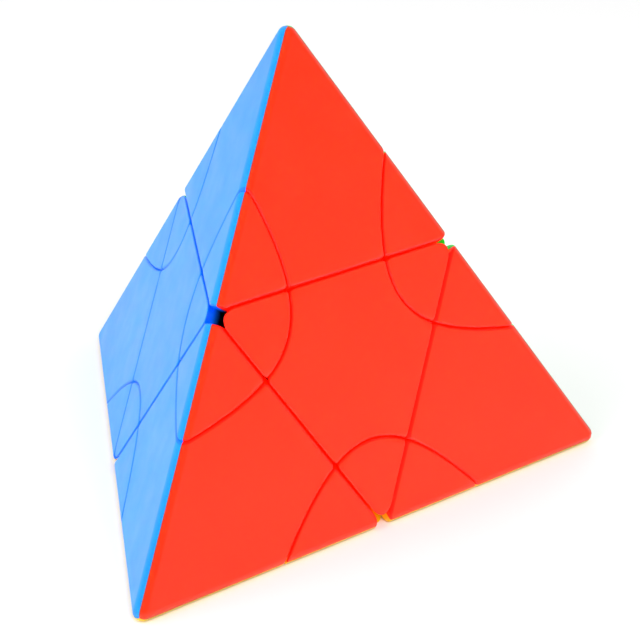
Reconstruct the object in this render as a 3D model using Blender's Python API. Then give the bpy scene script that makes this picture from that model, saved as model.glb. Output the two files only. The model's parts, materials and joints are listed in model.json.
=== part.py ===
"""Pyramid twisty puzzle, a tetrahedron cut by three planes and six cones, resting on one face.

Every outer piece is cut in the puzzle frame, whose axes X, Y and Z run from the centre to the
middles of three edges that meet at the top corner. The three planes between the halves are
X = 0, Y = 0 and Z = 0, and each of the six mid-edges carries a turning disc inside a cone.
"""

import itertools
import math

import bmesh
import bpy
from mathutils import Matrix, Vector

# Outer form, in metres
EDGE = 0.102  # between the ideal sharp corners, about 98 mm over the rounded ones
ROUND = 0.0012  # radius on outer edges and corners
ROUND_STEPS = 6
HALF = EDGE / math.sqrt(8)  # centre to the middle of an edge
INRADIUS = EDGE * math.sqrt(6) / 12  # centre to a face

# Cuts between the moving pieces
PLANE_SETBACK = 0.00025  # each half stands back from a plane cut
CONE_SETBACK = 0.00015  # each piece stands back from a cone cut, square to its wall
CONE_APEX = 0.14 * EDGE  # from the centre to the apex of a 45 degree cone
FAR = 0.045  # past the middle of an edge
SIGHT_RADIUS = 0.001  # hole down each disc's axis

# Mechanism, in spheres and planes round the centre
CORE_RADIUS = 0.0065
BOSS_RADIUS = 0.0032
BOSS_BOTTOM = 0.001  # buried in the ball
BOSS_TOP = 0.0073
THREAD_RADIUS = 0.0015
THREAD_BOTTOM = 0.0022
HUB_BOTTOM = 0.0076
HUB_SEAT = 0.010
HUB_NECK = 0.0036
HUB_BORE = 0.0026
HUB_FLANGE = 0.0070
FLANGE_BASE = 0.0150
FLANGE_TOP = 0.0175
RUNNING_GAP = 0.0003
LIP_BASE = FLANGE_TOP + 0.0004
LIP_TOP = 0.0205
LIP_ANGLE = math.radians(24)
GROOVE_ANGLE = math.radians(25.5)
FOOT_INNER = 0.0070
SEAT_PLANE = 0.0187  # a foot's flat top, from the centre towards its own corner
CAP_PLANE = SEAT_PLANE + RUNNING_GAP
WALL = 0.0024  # of a hollow corner cap

# Screws and springs
SCREW_HEAD = 0.0024
SCREW_SHANK = 0.0012
SCREW_SEAT = 0.0146
SCREW_HEAD_HEIGHT = 0.0014
SCREW_END = 0.0026
SLOT_WIDTH = 0.0007
SLOT_DEPTH = 0.0008
SPRING_RADIUS = 0.00185
SPRING_WIRE = 0.0003
SPRING_TURNS = 4
SPRING_START = HUB_SEAT + 0.0006
SPRING_END = SCREW_SEAT - 0.0006

# Facets
TURN_STEPS = 48
SMALL_STEPS = 16
SPHERE_STEPS = 24

CORNER = Vector((1, 1, 1)).normalized()
CORNERS = [Vector(s) for s in ((1, 1, 1), (1, -1, -1), (-1, 1, -1), (-1, -1, 1))]
X_AXIS, Y_AXIS, Z_AXIS = Vector((1, 0, 0)), Vector((0, 1, 0)), Vector((0, 0, 1))

# Where each named corner, face and mid-edge lies in the puzzle frame
TIPS = {"top": (1, 1, 1), "left": (1, -1, -1), "right": (-1, 1, -1), "back": (-1, -1, 1)}
FACES = {"bottom": (-1, -1, -1), "right": (-1, 1, 1), "left": (1, -1, 1), "front": (1, 1, -1)}
EDGES = {
    "top_left": (1, 0, 0),
    "bottom_right": (-1, 0, 0),
    "top_right": (0, 1, 0),
    "bottom_left": (0, -1, 0),
    "top_back": (0, 0, 1),
    "bottom_front": (0, 0, -1),
}
COLOURS = {
    "front": (0.93, 0.06, 0.02, 1),
    "left": (0.02, 0.30, 0.93, 1),
    "right": (0.05, 0.62, 0.10, 1),
    "bottom": (0.98, 0.72, 0.03, 1),
    "inner": (0.02, 0.02, 0.025, 1),
    "steel": (0.55, 0.56, 0.58, 1),
}


def clear_scene():
    for obj in list(bpy.data.objects):
        bpy.data.objects.remove(obj, do_unlink=True)


def material(name):
    steel = name == "steel"
    made = bpy.data.materials.new(name)
    made.use_nodes = True
    shader = made.node_tree.nodes["Principled BSDF"]
    shader.inputs["Base Color"].default_value = COLOURS[name]
    shader.inputs["Roughness"].default_value = 0.3 if steel else 0.38
    shader.inputs["Metallic"].default_value = 1.0 if steel else 0.0
    return made


def object_from(bm, name):
    """Links a closed mesh with its faces pointing out, and frees bm."""
    bmesh.ops.recalc_face_normals(bm, faces=bm.faces)
    mesh = bpy.data.meshes.new(name)
    bm.to_mesh(mesh)
    bm.free()
    obj = bpy.data.objects.new(name, mesh)
    bpy.context.scene.collection.objects.link(obj)
    return obj


def box(low, high):
    bm = bmesh.new()
    bmesh.ops.create_cube(bm, size=1)
    for vert in bm.verts:
        for k in range(3):
            vert.co[k] = low[k] if vert.co[k] < 0 else high[k]
    return object_from(bm, "box")


def sphere(radius):
    bm = bmesh.new()
    bmesh.ops.create_uvsphere(
        bm, u_segments=SPHERE_STEPS, v_segments=SPHERE_STEPS // 2, radius=radius
    )
    return object_from(bm, "sphere")


def lathe(profile, steps=TURN_STEPS, ring=False):
    """A solid turned about Z from (radius, height) points. A ring's profile closes on itself,
    and any other profile starts and ends on the axis."""
    bm = bmesh.new()
    rows = []
    for radius, height in profile:
        if radius < 1e-9:
            rows.append([bm.verts.new((0, 0, height))] * steps)
            continue
        angles = [2 * math.pi * k / steps for k in range(steps)]
        rows.append(
            [bm.verts.new((radius * math.cos(a), radius * math.sin(a), height)) for a in angles]
        )
    pairs = list(zip(rows, rows[1:]))
    if ring:
        pairs.append((rows[-1], rows[0]))
    for low, high in pairs:
        for k in range(steps):
            after = (k + 1) % steps
            corners = dict.fromkeys((low[k], low[after], high[after], high[k]))
            bm.faces.new(corners)
    return object_from(bm, "lathe")


def arc(radius, start, end, steps):
    """Profile points on a sphere about the centre, between two angles from the axis."""
    angles = [start + (end - start) * k / steps for k in range(steps + 1)]
    return [(radius * math.sin(a), radius * math.cos(a)) for a in angles]


def cone_angle(radius, apex):
    """The angle from the axis at which a 45 degree cone from apex meets a sphere."""
    along = (-apex + math.sqrt(2 * radius**2 - apex**2)) / 2
    return math.atan2(along, apex + along)


def boolean(obj, cutter, operation):
    """Applies a Boolean and removes the cutter."""
    modifier = obj.modifiers.new(operation, "BOOLEAN")
    modifier.operation = operation
    modifier.solver = "EXACT"
    modifier.object = cutter
    bpy.context.view_layer.update()
    graph = bpy.context.evaluated_depsgraph_get()
    made = bpy.data.meshes.new_from_object(obj.evaluated_get(graph))
    obj.modifiers.clear()
    obj.data = made
    bpy.data.objects.remove(cutter, do_unlink=True)
    return obj


def turned(obj, matrix):
    obj.data.transform(matrix)
    return obj


def towards(direction):
    """The rotation that takes +Z to a direction."""
    return Z_AXIS.rotation_difference(Vector(direction)).to_matrix().to_4x4()


def round_tetrahedron(size, rounding):
    """The convex hull of the rounded corners: flat faces, faceted edges and domed tips."""
    corner_distance = size * math.sqrt(3)
    bm = bmesh.new()
    for corner in CORNERS:
        centre = corner.normalized() * (corner_distance - 3 * rounding)
        normals = [-other.normalized() for other in CORNERS if other != corner]
        for i, j in itertools.product(range(ROUND_STEPS + 1), repeat=2):
            k = ROUND_STEPS - i - j
            if k >= 0:
                blend = normals[0] * i + normals[1] * j + normals[2] * k
                bm.verts.new(centre + blend.normalized() * rounding)
    bmesh.ops.convex_hull(bm, input=bm.verts)
    bmesh.ops.dissolve_limit(
        bm, angle_limit=math.radians(0.5), verts=bm.verts, edges=bm.edges
    )
    return object_from(bm, "tetrahedron")


def octant(sign, inset):
    ends = (sign * inset, sign * 2 * EDGE)
    return box((min(ends),) * 3, (max(ends),) * 3)


def beyond_plane(sign, distance):
    """All of space past a plane square to the corner direction."""
    slab = box((-EDGE, -EDGE, distance), (EDGE, EDGE, 2 * EDGE))
    return turned(slab, towards(CORNER * sign))


def disc_room(direction, setback=CONE_SETBACK):
    """What a disc and its lip need free in the pieces around them."""
    apex = CONE_APEX - setback * math.sqrt(2)
    top = LIP_TOP + RUNNING_GAP
    base = FLANGE_TOP - RUNNING_GAP
    profile = arc(base, 0, GROOVE_ANGLE, 6) + arc(top, GROOVE_ANGLE, cone_angle(top, apex), 4)
    profile += [(FAR - apex, FAR), (0, FAR)]
    return turned(lathe(profile), towards(direction))


def disc_body(direction):
    """A whole disc with its retaining lip, before it is cut in four."""
    apex = CONE_APEX + CONE_SETBACK * math.sqrt(2)
    start = math.asin(SIGHT_RADIUS / LIP_BASE)
    profile = arc(LIP_BASE, start, LIP_ANGLE, 5)
    profile += arc(LIP_TOP, LIP_ANGLE, cone_angle(LIP_TOP, apex), 4)
    profile += [(FAR - apex, FAR), (SIGHT_RADIUS, FAR)]
    return turned(lathe(profile, ring=True), towards(direction))


def outer_cap(sign):
    """A corner cap (sign 1) or a face plate (sign -1): what shows of one octant."""
    cap = boolean(octant(sign, PLANE_SETBACK), round_tetrahedron(HALF, ROUND), "INTERSECT")
    boolean(cap, beyond_plane(sign, CAP_PLANE), "INTERSECT")
    for axis in (X_AXIS, Y_AXIS, Z_AXIS):
        boolean(cap, disc_room(axis * sign), "DIFFERENCE")
    return cap


def corner_cap():
    """A corner cap is hollow, and open where it seats on its foot."""
    hollow = boolean(
        octant(1, PLANE_SETBACK + WALL),
        round_tetrahedron(HALF - WALL * math.sqrt(3), ROUND),
        "INTERSECT",
    )
    for axis in (X_AXIS, Y_AXIS, Z_AXIS):
        boolean(hollow, disc_room(axis, WALL), "DIFFERENCE")
    return boolean(outer_cap(1), hollow, "DIFFERENCE")


def quarter(sign):
    """A quarter of a disc: an edge wedge (sign 1) or a face petal (sign -1)."""
    piece = boolean(octant(sign, PLANE_SETBACK), round_tetrahedron(HALF, ROUND), "INTERSECT")
    return boolean(piece, disc_body(Z_AXIS * sign), "INTERSECT")


def foot():
    """The inner foot of an octant: a toe under the hub flanges, a neck and a three-armed seat."""
    inset, reach = PLANE_SETBACK, SEAT_PLANE * math.sqrt(3)
    bm = bmesh.new()
    apex = bm.verts.new((inset,) * 3)
    rim = [bm.verts.new(axis * (reach - 3 * inset) + apex.co) for axis in (X_AXIS, Y_AXIS, Z_AXIS)]
    bmesh.ops.convex_hull(bm, input=[apex, *rim])
    seat = object_from(bm, "foot")
    boolean(seat, sphere(FLANGE_TOP + RUNNING_GAP), "DIFFERENCE")
    for axis in (X_AXIS, Y_AXIS, Z_AXIS):
        boolean(seat, disc_room(axis), "DIFFERENCE")
    neck = boolean(octant(1, HUB_FLANGE + RUNNING_GAP), sphere(FLANGE_TOP + 4 * RUNNING_GAP), "INTERSECT")
    toe = boolean(octant(1, HUB_NECK + RUNNING_GAP), sphere(FLANGE_BASE - RUNNING_GAP), "INTERSECT")
    boolean(toe, sphere(FOOT_INNER), "DIFFERENCE")
    boolean(toe, neck, "UNION")
    return boolean(toe, seat, "UNION")


def core():
    """The centre ball, with a boss and a screw hole towards each disc."""
    ball = sphere(CORE_RADIUS)
    for direction in EDGES.values():
        profile = [(0, BOSS_BOTTOM), (BOSS_RADIUS, BOSS_BOTTOM), (BOSS_RADIUS, BOSS_TOP), (0, BOSS_TOP)]
        boolean(ball, turned(lathe(profile, SMALL_STEPS), towards(direction)), "UNION")
    for direction in EDGES.values():
        ends = (THREAD_BOTTOM, 2 * BOSS_TOP)
        profile = [(0, ends[0]), (THREAD_RADIUS, ends[0]), (THREAD_RADIUS, ends[1]), (0, ends[1])]
        boolean(ball, turned(lathe(profile, SMALL_STEPS), towards(direction)), "DIFFERENCE")
    return ball


def hub():
    """A flanged sleeve that a screw and spring hold to the core. Its flange keeps the toes in."""
    profile = [(THREAD_RADIUS, HUB_BOTTOM), (HUB_NECK, HUB_BOTTOM)]
    base = [math.asin(r / FLANGE_BASE) for r in (HUB_NECK, HUB_FLANGE)]
    top = [math.asin(r / FLANGE_TOP) for r in (HUB_FLANGE, HUB_BORE)]
    profile += arc(FLANGE_BASE, *base, 3) + arc(FLANGE_TOP, *top, 3)
    profile += [(HUB_BORE, HUB_SEAT), (THREAD_RADIUS, HUB_SEAT)]
    return lathe(profile, SMALL_STEPS + 4, ring=True)


def screw():
    """A pan head screw with a cross recess."""
    top = SCREW_SEAT + SCREW_HEAD_HEIGHT
    edge = top - SCREW_HEAD_HEIGHT / 3
    profile = [(0, SCREW_END), (SCREW_SHANK, SCREW_END), (SCREW_SHANK, SCREW_SEAT)]
    profile += [(SCREW_HEAD, SCREW_SEAT), (SCREW_HEAD, edge), (SCREW_HEAD * 0.8, top), (0, top)]
    made = lathe(profile, SMALL_STEPS)
    long, short = SCREW_HEAD * 0.6, SLOT_WIDTH / 2
    for x, y in ((long, short), (short, long)):
        boolean(made, box((-x, -y, top - SLOT_DEPTH), (x, y, top + SLOT_DEPTH)), "DIFFERENCE")
    return made


def spring():
    """A round wire coil between the hub's seat and the screw's head."""
    sides, steps = 6, 8 * SPRING_TURNS
    bm = bmesh.new()
    rings = []
    for k in range(steps + 1):
        share = k / steps
        turn = Matrix.Rotation(2 * math.pi * SPRING_TURNS * share, 4, "Z")
        height = SPRING_START + (SPRING_END - SPRING_START) * share
        angles = [2 * math.pi * n / sides for n in range(sides)]
        ring = [
            turn @ Vector((SPRING_RADIUS + SPRING_WIRE * math.cos(a), 0, SPRING_WIRE * math.sin(a)))
            for a in angles
        ]
        rings.append([bm.verts.new(point + Z_AXIS * height) for point in ring])
    for low, high in zip(rings, rings[1:]):
        for n in range(sides):
            after = (n + 1) % sides
            bm.faces.new((low[n], low[after], high[after], high[n]))
    bm.faces.new(rings[0])
    bm.faces.new(rings[-1])
    return object_from(bm, "spring")


def smooth(mesh):
    mesh.shade_smooth()
    mesh.set_sharp_from_angle(angle=math.radians(30))


def place(prototype, name, rotation, frame, surface):
    """One named copy of a prototype, turned in the puzzle frame."""
    copy = bpy.data.objects.new(name, prototype.data)
    bpy.context.scene.collection.objects.link(copy)
    copy.parent = frame
    copy.matrix_basis = rotation.to_4x4()
    if not copy.data.materials:
        copy.data.materials.append(None)
    copy.material_slots[0].link = "OBJECT"
    copy.material_slots[0].material = surface
    return copy


def half_turn(corner):
    """The rotation that takes the top corner's octant to another corner's, and each axis to itself."""
    return Matrix.Diagonal(Vector(corner))


def disc_rotation(octant_signs, direction, sign):
    """The rotation that takes the prototype quarter, by sign times Z, to an octant's quarter by a disc."""
    axis = [abs(c) for c in direction].index(1)
    cycle = Matrix.Rotation(math.radians(120), 3, CORNER)
    rotation = Matrix.Identity(3)
    while abs((rotation @ Z_AXIS)[axis]) < 0.5:
        rotation = cycle @ rotation
    return half_turn([sign * s for s in octant_signs]) @ rotation


def puzzle_frame():
    """An empty at the centre, its axes towards the middles of the three upper edges."""
    frame = bpy.data.objects.new("puzzle_frame", None)
    bpy.context.scene.collection.objects.link(frame)
    across, down, up = math.sqrt(1 / 2), math.sqrt(1 / 6), math.sqrt(1 / 3)
    columns = Matrix(((-across, across, 0), (-down, -down, 2 * down), (up, up, up)))
    frame.matrix_world = Matrix.Translation((0, 0, INRADIUS)) @ columns.to_4x4()
    return frame


def beside(corner, direction):
    """Whether an octant touches a disc."""
    return Vector(corner).dot(Vector(direction)) > 0.5


def build():
    clear_scene()
    frame = puzzle_frame()
    surfaces = {name: material(name) for name in COLOURS}
    parts = {
        "cap": corner_cap(),
        "plate": outer_cap(-1),
        "wedge": quarter(1),
        "petal": quarter(-1),
        "foot": foot(),
        "core": core(),
        "hub": hub(),
        "screw": screw(),
        "spring": spring(),
    }
    for prototype in parts.values():
        smooth(prototype.data)

    upright = Matrix.Identity(3)
    quarter_turn = Matrix.Rotation(math.radians(90), 3, "Z")
    flipped = Matrix.Rotation(math.radians(180), 3, "X") @ quarter_turn
    place(parts["core"], "core", upright, frame, surfaces["inner"])
    for name, corner in TIPS.items():
        turn = half_turn(corner)
        colour = "left" if name == "back" else "front"
        place(parts["cap"], f"corner_cap_{name}", turn, frame, surfaces[colour])
        place(parts["foot"], f"corner_foot_{name}", turn, frame, surfaces["inner"])
    for name, octant_signs in FACES.items():
        turn = half_turn([-s for s in octant_signs])
        place(parts["plate"], f"face_plate_{name}", turn, frame, surfaces[name])
        place(parts["foot"], f"face_foot_{name}", turn @ flipped, frame, surfaces[name])
    for edge, direction in EDGES.items():
        turn = towards(direction).to_3x3()
        place(parts["hub"], f"hub_{edge}", turn, frame, surfaces["inner"])
        place(parts["screw"], f"screw_{edge}", turn, frame, surfaces["steel"])
        place(parts["spring"], f"spring_{edge}", turn, frame, surfaces["steel"])
        sides = [name for name, signs in FACES.items() if beside(signs, direction)]
        for name, corner in TIPS.items():
            if beside(corner, direction):
                turn = disc_rotation(corner, direction, 1)
                place(parts["wedge"], f"wedge_{edge}_{name}", turn, frame, surfaces[sides[-1]])
        for name in sides:
            turn = disc_rotation(FACES[name], direction, -1)
            place(parts["petal"], f"petal_{edge}_{name}", turn, frame, surfaces[name])
    for prototype in parts.values():
        bpy.data.objects.remove(prototype, do_unlink=True)


build()
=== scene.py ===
"""A pyramid twisty puzzle in four colours of plastic, standing on a pale surface.

The outer pieces are cut again from a finer rounded tetrahedron, in the puzzle frame: its axes X, Y
and Z run from the centre to the middles of the three edges that meet at the top corner. The
mechanism inside keeps its CAD shapes.
"""

import itertools
import json
import math

import bmesh
import bpy
from mathutils import Euler, Matrix, Vector


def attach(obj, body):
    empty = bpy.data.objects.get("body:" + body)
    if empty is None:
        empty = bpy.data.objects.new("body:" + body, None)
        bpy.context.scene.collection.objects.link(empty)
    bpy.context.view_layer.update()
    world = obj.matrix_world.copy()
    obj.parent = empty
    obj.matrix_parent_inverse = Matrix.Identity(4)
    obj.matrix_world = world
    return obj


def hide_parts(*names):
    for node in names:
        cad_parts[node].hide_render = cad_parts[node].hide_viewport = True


# Outer form and cuts, in metres
EDGE = 0.102
ROUND = 0.0016  # more than the CAD radius, so the finer tips stay inside its box
ROUND_STEPS = 9  # across the dome at a tip
HALF = EDGE / math.sqrt(8)
INRADIUS = EDGE * math.sqrt(6) / 12
PLANE_SETBACK = 0.00012  # half of the seam along a plane
CONE_SETBACK = 0.00008  # half of the seam round a disc
CONE_APEX = 0.14 * EDGE  # how far from the centre a disc's cone has its apex
FAR = 0.045  # along a disc's axis, past the outside
FLANGE_TOP = 0.0175  # the sphere over the flanges of the hubs in the CAD
RUNNING_GAP = 0.0003  # between a disc's lip and its groove
LIP_BASE = FLANGE_TOP + 0.0004  # the spheres under and over a lip
LIP_TOP = 0.0205
LIP_ANGLE = math.radians(24)  # from a disc's axis to the end of its lip
GROOVE_ANGLE = math.radians(25.5)  # and to the end of the groove
CAP_PLANE = 0.019  # how near the centre the caps and plates come
TURN_STEPS = 128  # round a solid of revolution
GROOVE_STEPS, LIP_STEPS, CONE_STEPS = 6, 5, 4  # along the arcs of a disc's section

# Softened edges of the mouldings, in metres
AXIS_CHAMFER = 0.0014  # from a disc's axis to the blunted tips of its quarters
CORNER_ROUND = 0.0012  # where two cut walls meet
RIM_ROUND = 0.0004  # where a cut wall meets the outside
CORNER_SEGMENTS, RIM_SEGMENTS = 4, 3
SHARP = math.radians(25)  # edges that turn by more than this are rounded
FLAT = math.radians(0.3)  # faces that turn by less than this are joined
SMOOTH = math.radians(50)  # edges that turn by less than this are shaded smooth
CUT_WELD = 0.00002  # how close two points are made one: after the cuts,
CORNER_WELD = 0.0002  # after the corners are rounded,
RIM_WELD = 0.00004  # and after the rims are
ON_OUTSIDE = 0.00006  # how far under the rounded tetrahedron still counts as its surface
ON_AXIS = 1e-9
CUT_TOLERANCE = 1e-7
SPLIT_GAP = 0.00001  # each coloured shell stands back from its neighbour in one piece
SHRINK = 0.9993  # keeps the finer shells inside the CAD box

CORNER = Vector((1, 1, 1)).normalized()
CORNERS = [Vector(s) for s in ((1, 1, 1), (1, -1, -1), (-1, 1, -1), (-1, -1, 1))]
X_AXIS, Y_AXIS, Z_AXIS = Vector((1, 0, 0)), Vector((0, 1, 0)), Vector((0, 0, 1))

TIPS = {"top": (1, 1, 1), "left": (1, -1, -1), "right": (-1, 1, -1), "back": (-1, -1, 1)}
FACES = {"bottom": (-1, -1, -1), "right": (-1, 1, 1), "left": (1, -1, 1), "front": (1, 1, -1)}
EDGES = {
    "top_left": (1, 0, 0),
    "bottom_right": (-1, 0, 0),
    "top_right": (0, 1, 0),
    "bottom_left": (0, -1, 0),
    "top_back": (0, 0, 1),
    "bottom_front": (0, 0, -1),
}
REACH = HALF * math.sqrt(3) - 3 * ROUND
ROUND_CENTRES = [corner.normalized() * REACH for corner in CORNERS]
FACE_NORMALS = {name: Vector(signs).normalized() for name, signs in FACES.items()}
FACE_COLOURS = {"front": "red", "left": "blue", "right": "green", "bottom": "yellow"}
WRAP = {"red": 0.0, "blue": 0.0002, "green": 0.0002, "yellow": 0.0004}  # over a shared edge

# Looks. The glow stands for light that the plastic carries into a seam. It doesn't follow the
# lamps: one strength for each colour.
SEAM_GLOW = {"red": 0.35, "blue": 0.35, "green": 0.06, "yellow": 0.12}
PLASTICS = {
    "red": (0.95, 0.032, 0.003),
    "blue": (0.0, 0.285, 0.95),
    "green": (0.04, 0.60, 0.07),
    "yellow": (0.98, 0.62, 0.02),
    "black": (0.012, 0.012, 0.014),
}
SEAM_PURITY = 1.5  # the power that a seam's colour is raised to, a painted light carried through the plastic
WALL_SPAN = (0.2, 1.0)  # the shells' "wall" value where the seam's painted light (purer colour and glow) starts, and is full
SEAM_SHADE_DEPTHS = (0.0016, 0.0034)  # where the painted shade starts to darken a cut wall, and where the wall is black
# the black of the painted shade deep in a seam
SEAM_SHADE_BLACK = (0.004, 0.004, 0.005)
PLASTIC_IOR = 1.49
TONE_RANGE = (0.94, 1.03)  # times the plastic's colour
TONE_SCALE, GLOSS_SCALE, GRAIN_SCALE = 60, 180, 3500
PLASTIC_ROUGHNESS = (0.33, 0.43)
GRAIN_STRENGTH, GRAIN_HEIGHT = 0.05, 0.00002
SCATTER_WEIGHT, SCATTER_SCALE = 0.8, 0.002
SCATTER_LEAST = 0.15  # the scattering radius of a channel that the colour lacks
STEEL_TONES = ((0.42, 0.43, 0.45), (0.60, 0.61, 0.62))
STEEL_TONE_SCALE, STEEL_GLOSS_SCALE = 900, 2000
STEEL_ROUGHNESS = (0.22, 0.36)
NOISE_DETAIL = 3.0
NOISE_SPAN = (0.3, 0.7)  # the part of the noise's values that is used

# The set: a white floor under a white sky with one dark side, and two soft lamps
FLOOR_SIZE = 8
FLOOR_WHITE, FLOOR_ROUGHNESS = 0.93, 0.9
AIM = (0, 0, 0.03)
KEY = {"place": (-0.25, -0.9, 1.0), "size": 0.9, "power": 17}
FILL = {"place": (-1.1, 0.1, 0.7), "size": 0.9, "power": 9}
DARK_SIDE = (-0.1, -0.6, 0.5)
DARK_COSINES = (-0.1, 0.55)  # where the sky starts to darken towards the dark side, and ends
SKY_STRENGTHS = (1.05, 0.2)  # away from the dark side, and in it

# The camera, fitted to the photo
SENSOR_WIDTH = 36
LENS = 134.62
SHIFT = (-0.20470, -0.20058)
CAMERA_PLACE = (-0.22273, -0.28988, 0.20985)
CAMERA_ANGLES = (1.16235, -0.04287, -0.7123)

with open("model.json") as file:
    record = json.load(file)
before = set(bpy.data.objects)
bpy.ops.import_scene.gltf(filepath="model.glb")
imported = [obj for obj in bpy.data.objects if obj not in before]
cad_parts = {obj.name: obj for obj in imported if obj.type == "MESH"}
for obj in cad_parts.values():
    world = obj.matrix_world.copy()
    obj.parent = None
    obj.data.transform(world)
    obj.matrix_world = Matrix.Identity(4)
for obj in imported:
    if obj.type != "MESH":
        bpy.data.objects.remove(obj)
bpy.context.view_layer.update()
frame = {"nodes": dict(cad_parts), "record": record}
node_body = {
    node: body for body, nodes in frame["record"]["behaviour"]["bodies"].items() for node in nodes
}


def nodes_of(material):
    tree = material.node_tree
    return tree.nodes, tree.links, tree.nodes["Principled BSDF"]


def mapped(nodes, start, end, low=0.0, high=1.0):
    """A node that turns start to end into low to high."""
    spread = nodes.new("ShaderNodeMapRange")
    spread.inputs["From Min"].default_value = start
    spread.inputs["From Max"].default_value = end
    spread.inputs["To Min"].default_value = low
    spread.inputs["To Max"].default_value = high
    return spread


def varied(nodes, links, scale, low, high):
    """A noise in object space, mapped from low to high."""
    coords = nodes.new("ShaderNodeTexCoord")
    noise = nodes.new("ShaderNodeTexNoise")
    noise.inputs["Scale"].default_value = scale
    noise.inputs["Detail"].default_value = NOISE_DETAIL
    spread = mapped(nodes, *NOISE_SPAN, low, high)
    links.new(coords.outputs["Object"], noise.inputs["Vector"])
    links.new(noise.outputs["Fac"], spread.inputs["Value"])
    return spread.outputs["Result"]


def read_attribute(nodes, links, name, start, end):
    """A shell's own vertex value, as 0 at the start and 1 at the end."""
    value = nodes.new("ShaderNodeAttribute")
    value.attribute_name = name
    spread = mapped(nodes, start, end)
    links.new(value.outputs["Fac"], spread.inputs["Value"])
    return spread.outputs["Result"]


def mixed(nodes, links, factor, start, end):
    """A colour that goes from the start socket to a fixed end with the factor."""
    mix = nodes.new("ShaderNodeMix")
    mix.data_type = "RGBA"
    mix.inputs["B"].default_value = (*end, 1)
    links.new(factor, mix.inputs["Factor"])
    links.new(start, mix.inputs["A"])
    return mix.outputs["Result"]


def arithmetic(nodes, links, operation, first, second):
    """The result of a math node on two terms, each a socket or a number."""
    step = nodes.new("ShaderNodeMath")
    step.operation = operation
    for term, place in zip((first, second), step.inputs):
        if isinstance(term, bpy.types.NodeSocket):
            links.new(term, place)
        else:
            place.default_value = term
    return step.outputs["Value"]


def light_the_seams(nodes, links, shader, tone, colour, glow_strength):
    """Painted light and shade on the cut walls: near the outside they take a purer colour and
    glow, painted light carried through the plastic; deep inside they fall to black, painted shade.
    """
    strongest = max(colour)
    pure = [strongest * (c / strongest) ** SEAM_PURITY for c in colour]
    wall = read_attribute(nodes, links, "wall", *WALL_SPAN)
    # how far a wall lies in the painted shade, from its depth
    deep = read_attribute(nodes, links, "depth", *SEAM_SHADE_DEPTHS)
    # painted light: a purer colour on the cut walls near the outside
    purer = mixed(nodes, links, wall, tone.outputs["Color"], pure)
    # painted shade: the walls fall to black deep inside
    darker = mixed(nodes, links, deep, purer, SEAM_SHADE_BLACK)
    links.new(darker, shader.inputs["Base Color"])
    # painted light: the walls glow, less where they lie deep
    shallow = arithmetic(nodes, links, "SUBTRACT", 1.0, deep)
    glow = arithmetic(nodes, links, "MULTIPLY", shallow, wall)
    strength = arithmetic(nodes, links, "MULTIPLY", glow, glow_strength)
    shader.inputs["Emission Color"].default_value = (*pure, 1)
    links.new(strength, shader.inputs["Emission Strength"])


def plastic(name, colour):
    """Satin moulded plastic: faint tone changes, uneven gloss and a fine moulded grain."""
    darker, lighter = TONE_RANGE
    made = bpy.data.materials.new(f"{name}_plastic")
    made.use_nodes = True
    nodes, links, shader = nodes_of(made)
    tone = nodes.new("ShaderNodeValToRGB")
    tone.color_ramp.elements[0].color = (*(c * darker for c in colour), 1)
    tone.color_ramp.elements[1].color = (*(min(1, c * lighter) for c in colour), 1)
    links.new(varied(nodes, links, TONE_SCALE, 0.0, 1.0), tone.inputs["Fac"])
    links.new(tone.outputs["Color"], shader.inputs["Base Color"])
    if name in SEAM_GLOW:
        light_the_seams(nodes, links, shader, tone, colour, SEAM_GLOW[name])
    gloss = varied(nodes, links, GLOSS_SCALE, *PLASTIC_ROUGHNESS)
    links.new(gloss, shader.inputs["Roughness"])
    grain = nodes.new("ShaderNodeBump")
    grain.inputs["Strength"].default_value = GRAIN_STRENGTH
    grain.inputs["Distance"].default_value = GRAIN_HEIGHT
    links.new(varied(nodes, links, GRAIN_SCALE, 0.0, 1.0), grain.inputs["Height"])
    links.new(grain.outputs["Normal"], shader.inputs["Normal"])
    shader.inputs["IOR"].default_value = PLASTIC_IOR
    if name in SEAM_GLOW:
        radii = [SCATTER_LEAST + (1 - SCATTER_LEAST) * c for c in colour]
        shader.inputs["Subsurface Weight"].default_value = SCATTER_WEIGHT
        shader.inputs["Subsurface Radius"].default_value = radii
        shader.inputs["Subsurface Scale"].default_value = SCATTER_SCALE
    return made


def plated_steel():
    made = bpy.data.materials.new("steel")
    made.use_nodes = True
    nodes, links, shader = nodes_of(made)
    tone = nodes.new("ShaderNodeValToRGB")
    for element, grey in zip(tone.color_ramp.elements, STEEL_TONES):
        element.color = (*grey, 1)
    links.new(varied(nodes, links, STEEL_TONE_SCALE, 0.0, 1.0), tone.inputs["Fac"])
    links.new(tone.outputs["Color"], shader.inputs["Base Color"])
    gloss = varied(nodes, links, STEEL_GLOSS_SCALE, *STEEL_ROUGHNESS)
    links.new(gloss, shader.inputs["Roughness"])
    shader.inputs["Metallic"].default_value = 1.0
    return made


def object_from(bm, name):
    """Links a closed mesh with its faces pointing out, and frees bm."""
    bmesh.ops.recalc_face_normals(bm, faces=bm.faces)
    mesh = bpy.data.meshes.new(name)
    bm.to_mesh(mesh)
    bm.free()
    obj = bpy.data.objects.new(name, mesh)
    bpy.context.scene.collection.objects.link(obj)
    return obj


def box(low, high):
    bm = bmesh.new()
    bmesh.ops.create_cube(bm, size=1)
    for vert in bm.verts:
        for k in range(3):
            vert.co[k] = low[k] if vert.co[k] < 0 else high[k]
    return object_from(bm, "box")


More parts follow.
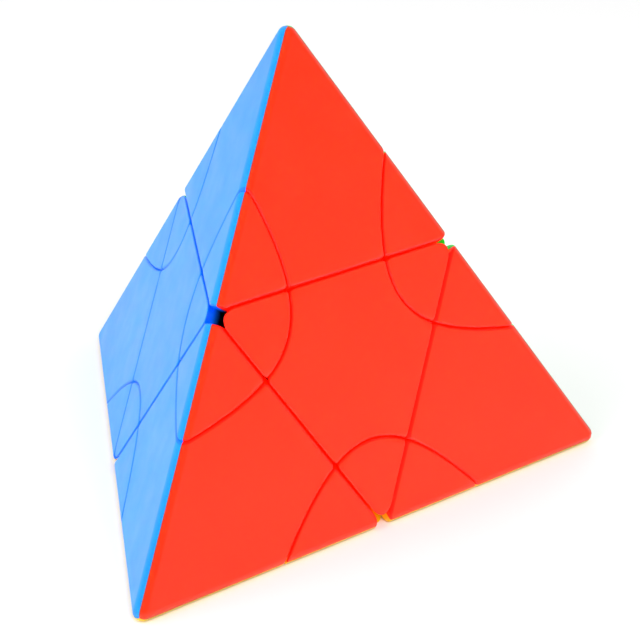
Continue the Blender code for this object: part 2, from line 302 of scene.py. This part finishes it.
def lathe(profile):
    """A solid turned about Z from (radius, height) points that start and end on the axis."""
    bm = bmesh.new()
    rows = []
    angles = [2 * math.pi * k / TURN_STEPS for k in range(TURN_STEPS)]
    for radius, height in profile:
        if radius < ON_AXIS:
            rows.append([bm.verts.new((0, 0, height))] * TURN_STEPS)
            continue
        ring = [(radius * math.cos(a), radius * math.sin(a), height) for a in angles]
        rows.append([bm.verts.new(place) for place in ring])
    for low, high in zip(rows, rows[1:]):
        for k in range(TURN_STEPS):
            after = (k + 1) % TURN_STEPS
            bm.faces.new(dict.fromkeys((low[k], low[after], high[after], high[k])))
    return object_from(bm, "lathe")


def arc(radius, start, end, steps):
    """Points of a lathe profile on a sphere round the centre; the angles are from the axis."""
    angles = [start + (end - start) * k / steps for k in range(steps + 1)]
    return [(radius * math.sin(a), radius * math.cos(a)) for a in angles]


def cone_angle(radius, apex):
    """The angle from the axis at which a 45 degree cone from apex meets a sphere."""
    along = (-apex + math.sqrt(2 * radius**2 - apex**2)) / 2
    return math.atan2(along, apex + along)


def apply_modifiers(obj):
    bpy.context.view_layer.update()
    graph = bpy.context.evaluated_depsgraph_get()
    made = bpy.data.meshes.new_from_object(obj.evaluated_get(graph))
    obj.modifiers.clear()
    obj.data = made


def boolean(obj, cutter, operation):
    """Changes obj by the cutter, which is used up."""
    modifier = obj.modifiers.new(operation, "BOOLEAN")
    modifier.operation = operation
    modifier.solver = "EXACT"
    modifier.object = cutter
    apply_modifiers(obj)
    bpy.data.objects.remove(cutter, do_unlink=True)
    return obj


def turned(obj, matrix):
    obj.data.transform(matrix)
    return obj


def towards(direction):
    """The turn that brings the Z axis to a direction."""
    return Z_AXIS.rotation_difference(Vector(direction)).to_matrix().to_4x4()


def round_tetrahedron():
    """The convex hull of the rounded corners: flat faces, faceted edges and domed tips."""
    bm = bmesh.new()
    for corner, centre in zip(CORNERS, ROUND_CENTRES):
        normals = [-other.normalized() for other in CORNERS if other != corner]
        for i, j in itertools.product(range(ROUND_STEPS + 1), repeat=2):
            k = ROUND_STEPS - i - j
            if k >= 0:
                blend = normals[0] * i + normals[1] * j + normals[2] * k
                bm.verts.new(centre + blend.normalized() * ROUND)
    bmesh.ops.convex_hull(bm, input=bm.verts)
    bmesh.ops.dissolve_limit(bm, angle_limit=FLAT, verts=bm.verts, edges=bm.edges)
    return object_from(bm, "tetrahedron")


def octant(sign):
    """The space between the three planes on one side, set back by half a seam."""
    ends = (sign * PLANE_SETBACK, sign * 2 * EDGE)
    return box((min(ends),) * 3, (max(ends),) * 3)


def disc_room(direction):
    """What a disc and its lip need free in the pieces around them."""
    apex = CONE_APEX - CONE_SETBACK * math.sqrt(2)
    top = LIP_TOP + RUNNING_GAP
    base = FLANGE_TOP - RUNNING_GAP
    profile = arc(base, 0, GROOVE_ANGLE, GROOVE_STEPS)
    profile += arc(top, GROOVE_ANGLE, cone_angle(top, apex), CONE_STEPS)
    profile += [(FAR - apex, FAR), (0, FAR)]
    return turned(lathe(profile), towards(direction))


def disc_body(direction):
    """A whole disc with its retaining lip, before it is cut in four."""
    apex = CONE_APEX + CONE_SETBACK * math.sqrt(2)
    profile = arc(LIP_BASE, 0, LIP_ANGLE, LIP_STEPS)
    profile += arc(LIP_TOP, LIP_ANGLE, cone_angle(LIP_TOP, apex), CONE_STEPS)
    profile += [(FAR - apex, FAR), (0, FAR)]
    return turned(lathe(profile), towards(direction))


def outer_piece(sign):
    """A corner cap (sign 1) or a face plate (sign -1)."""
    piece = boolean(octant(sign), round_tetrahedron(), "INTERSECT")
    slab = box((-EDGE, -EDGE, CAP_PLANE), (EDGE, EDGE, 2 * EDGE))
    boolean(piece, turned(slab, towards(CORNER * sign)), "INTERSECT")
    for axis in (X_AXIS, Y_AXIS, Z_AXIS):
        boolean(piece, disc_room(axis * sign), "DIFFERENCE")
    return piece


def quarter(sign):
    """A quarter of a disc: an edge wedge (sign 1) or a face petal (sign -1)."""
    piece = boolean(octant(sign), round_tetrahedron(), "INTERSECT")
    boolean(piece, disc_body(Z_AXIS * sign), "INTERSECT")
    slab = box((-EDGE, -EDGE, AXIS_CHAMFER), (EDGE, EDGE, EDGE))
    return boolean(piece, turned(slab, towards((X_AXIS + Y_AXIS) * sign)), "INTERSECT")


def is_outside(face):
    """Whether a face lies on the rounded tetrahedron."""
    support = max(face.normal.dot(centre) for centre in ROUND_CENTRES) + ROUND
    return face.normal.dot(face.calc_center_median()) > support - ON_OUTSIDE


def edge_reaches_outside(edge):
    return any(is_outside(face) for vert in edge.verts for face in vert.link_faces)


def is_upright(edge):
    """Whether an edge is one where two cut walls meet and run to the outside."""
    return not any(is_outside(face) for face in edge.link_faces) and edge_reaches_outside(edge)


def is_rim(edge):
    """Whether a cut wall meets the outside at an edge."""
    return len({is_outside(face) for face in edge.link_faces}) == 2


def clean(bm, shortest):
    """Welds points closer than shortest and joins faces that lie in one plane."""
    bmesh.ops.remove_doubles(bm, verts=bm.verts, dist=shortest)
    bmesh.ops.dissolve_degenerate(bm, dist=shortest / 2, edges=bm.edges)
    bmesh.ops.dissolve_limit(bm, angle_limit=FLAT, verts=bm.verts, edges=bm.edges)
    bm.normal_update()


def round_edges(bm, chosen, radius, segments):
    """Rounds the sharp ones of the edges for which chosen holds."""
    sharp = [
        edge
        for edge in bm.edges
        if len(edge.link_faces) == 2 and edge.calc_face_angle() > SHARP and chosen(edge)
    ]
    bmesh.ops.bevel(
        bm, geom=sharp, offset=radius, segments=segments, profile=0.5,
        affect="EDGES", clamp_overlap=False, loop_slide=False, miter_outer="ARC",
    )


def softened(piece):
    """Rounds a moulding's upright corners, then the rim where its walls reach the outside."""
    bm = bmesh.new()
    bm.from_mesh(piece.data)
    clean(bm, CUT_WELD)
    round_edges(bm, is_upright, CORNER_ROUND, CORNER_SEGMENTS)
    clean(bm, CORNER_WELD)
    round_edges(bm, is_rim, RIM_ROUND, RIM_SEGMENTS)
    bmesh.ops.remove_doubles(bm, verts=bm.verts, dist=RIM_WELD)
    bmesh.ops.triangulate(bm, faces=bm.faces)
    bmesh.ops.recalc_face_normals(bm, faces=bm.faces)
    bm.to_mesh(piece.data)
    bm.free()
    return piece


def split(piece, own, faces, name):
    """The closed part of a piece whose colour is that of one of its faces."""
    bm = bmesh.new()
    bm.from_mesh(piece.data)
    for other in faces:
        if other == own:
            continue
        across = FACE_NORMALS[other] - FACE_NORMALS[own]
        wrap = WRAP[FACE_COLOURS[own]] - WRAP[FACE_COLOURS[other]]
        place = wrap / across.length - SPLIT_GAP
        cut = bmesh.ops.bisect_plane(
            bm, geom=bm.verts[:] + bm.edges[:] + bm.faces[:], dist=CUT_TOLERANCE,
            plane_co=across.normalized() * place, plane_no=across, clear_outer=True,
        )
        rim = [e for e in cut["geom_cut"] if isinstance(e, bmesh.types.BMEdge)]
        bmesh.ops.contextual_create(bm, geom=rim)
    mark_walls(bm)
    return object_from(bm, name)


def mark_walls(bm):
    """Stores where the cut walls are, and how deep they lie, for the plastic to read: these place
    the painted light and shade of the seams.
    """
    wall = bm.verts.layers.float.new("wall")
    depth = bm.verts.layers.float.new("depth")
    bm.normal_update()
    for vert in bm.verts:
        vert[wall] = 0.0 if any(is_outside(face) for face in vert.link_faces) else 1.0
        vert[depth] = INRADIUS - max(vert.co.dot(normal) for normal in FACE_NORMALS.values())


def weight_normals(part):
    """Smooth bevels beside flats that stay flat."""
    part.data.shade_smooth()
    part.data.set_sharp_from_angle(angle=SMOOTH)
    modifier = part.modifiers.new("weighted", "WEIGHTED_NORMAL")
    modifier.keep_sharp = True
    modifier.weight = 100
    apply_modifiers(part)


def half_turn(signs):
    """Takes the corner at (1, 1, 1) to the one at signs."""
    return Matrix.Diagonal(Vector(signs))


def disc_rotation(octant_signs, direction, sign):
    """Takes the modelled quarter disc, about Z, to a disc and an octant of the puzzle."""
    axis = [abs(c) for c in direction].index(1)
    rotation = Matrix.Identity(3)
    while abs((rotation @ Z_AXIS)[axis]) < 0.5:
        rotation = Matrix.Rotation(math.radians(120), 3, CORNER) @ rotation
    return half_turn([sign * s for s in octant_signs]) @ rotation


across, down, up = math.sqrt(1 / 2), math.sqrt(1 / 6), math.sqrt(1 / 3)
columns = Matrix(((-across, across, 0), (-down, -down, 2 * down), (up, up, up)))
TO_ROW = Matrix.Translation((0, 0, INRADIUS)) @ columns.to_4x4() @ Matrix.Scale(SHRINK, 4)

materials = {name: plastic(name, colour) for name, colour in PLASTICS.items()}
materials["steel"] = plated_steel()
prototypes = {
    "plate": softened(outer_piece(-1)),
    "petal": softened(quarter(-1)),
    "cap": softened(outer_piece(1)),
    "wedge": softened(quarter(1)),
}


def dress(node, kind, rotation, faces):
    """Stands the coloured shells of one moulding in a CAD node's place."""
    piece = prototypes[kind].copy()
    piece.data = prototypes[kind].data.copy()
    piece.data.transform(rotation.to_4x4())
    for face in faces:
        colour = FACE_COLOURS[face]
        shell = split(piece, face, faces, f"{node}_{colour}_shell")
        shell.data.transform(TO_ROW)
        weight_normals(shell)
        shell.data.materials.clear()
        shell.data.materials.append(materials[colour])
        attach(shell, node_body[node])
        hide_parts(node)
    bpy.data.objects.remove(piece, do_unlink=True)


for name, corner in TIPS.items():
    beside = [face for face, signs in FACES.items() if Vector(signs).dot(Vector(corner)) > 0]
    dress(f"corner_cap_{name}", "cap", half_turn(corner), beside)
for name, signs in FACES.items():
    dress(f"face_plate_{name}", "plate", half_turn([-s for s in signs]), [name])
for edge, direction in EDGES.items():
    beside = [face for face, signs in FACES.items() if Vector(signs).dot(Vector(direction)) > 0]
    for name, corner in TIPS.items():
        if Vector(corner).dot(Vector(direction)) > 0.5:
            dress(f"wedge_{edge}_{name}", "wedge", disc_rotation(corner, direction, 1), beside)
    for name in beside:
        dress(f"petal_{edge}_{name}", "petal", disc_rotation(FACES[name], direction, -1), [name])
for piece in prototypes.values():
    bpy.data.objects.remove(piece, do_unlink=True)

for name, obj in frame["nodes"].items():
    if obj.hide_render:
        continue
    finish = "steel" if name.startswith(("screw", "spring")) else "black"
    if name.startswith("face_foot"):
        finish = FACE_COLOURS[name.removeprefix("face_foot_")]
    for place in obj.material_slots:
        place.material = materials[finish]


def stage():
    paper = bpy.data.materials.new("white_paper")
    paper.use_nodes = True
    _, _, shader = nodes_of(paper)
    shader.inputs["Base Color"].default_value = (FLOOR_WHITE, FLOOR_WHITE, FLOOR_WHITE, 1)
    shader.inputs["Roughness"].default_value = FLOOR_ROUGHNESS
    bpy.ops.mesh.primitive_plane_add(size=FLOOR_SIZE, location=(0, 0, 0))
    floor = bpy.context.object
    floor.name = "floor"
    floor.data.materials.append(paper)


def area_light(name, place, size, power):
    """A soft lamp aimed at the puzzle, with no highlight of its own."""
    data = bpy.data.lights.new(name, "AREA")
    data.size = size
    data.energy = power
    light = bpy.data.objects.new(name, data)
    bpy.context.scene.collection.objects.link(light)
    light.location = place
    light.visible_glossy = False
    beam = Vector(AIM) - Vector(place)
    light.rotation_euler = beam.to_track_quat("-Z", "Y").to_euler()


def lights():
    world = bpy.data.worlds.new("studio")
    world.use_nodes = True
    nodes, links = world.node_tree.nodes, world.node_tree.links
    backdrop = nodes["Background"]
    backdrop.inputs["Color"].default_value = (1, 1, 1, 1)
    direction = nodes.new("ShaderNodeTexCoord")
    towards_dark = nodes.new("ShaderNodeVectorMath")
    towards_dark.operation = "DOT_PRODUCT"
    towards_dark.inputs[1].default_value = Vector(DARK_SIDE).normalized()
    strength = mapped(nodes, *DARK_COSINES, *SKY_STRENGTHS)
    strength.interpolation_type = "SMOOTHSTEP"
    links.new(direction.outputs["Generated"], towards_dark.inputs[0])
    links.new(towards_dark.outputs["Value"], strength.inputs["Value"])
    links.new(strength.outputs["Result"], backdrop.inputs["Strength"])
    bpy.context.scene.world = world
    area_light("key", **KEY)
    area_light("fill", **FILL)


def camera():
    data = bpy.data.cameras.new("camera")
    data.sensor_width = SENSOR_WIDTH
    data.lens = LENS
    data.shift_x, data.shift_y = SHIFT
    seen = bpy.data.objects.new("camera", data)
    bpy.context.scene.collection.objects.link(seen)
    seen.location = CAMERA_PLACE
    seen.rotation_euler = Euler(CAMERA_ANGLES, "XYZ")
    bpy.context.scene.camera = seen


stage()
lights()
camera()
bpy.context.scene.view_settings.view_transform = "Standard"
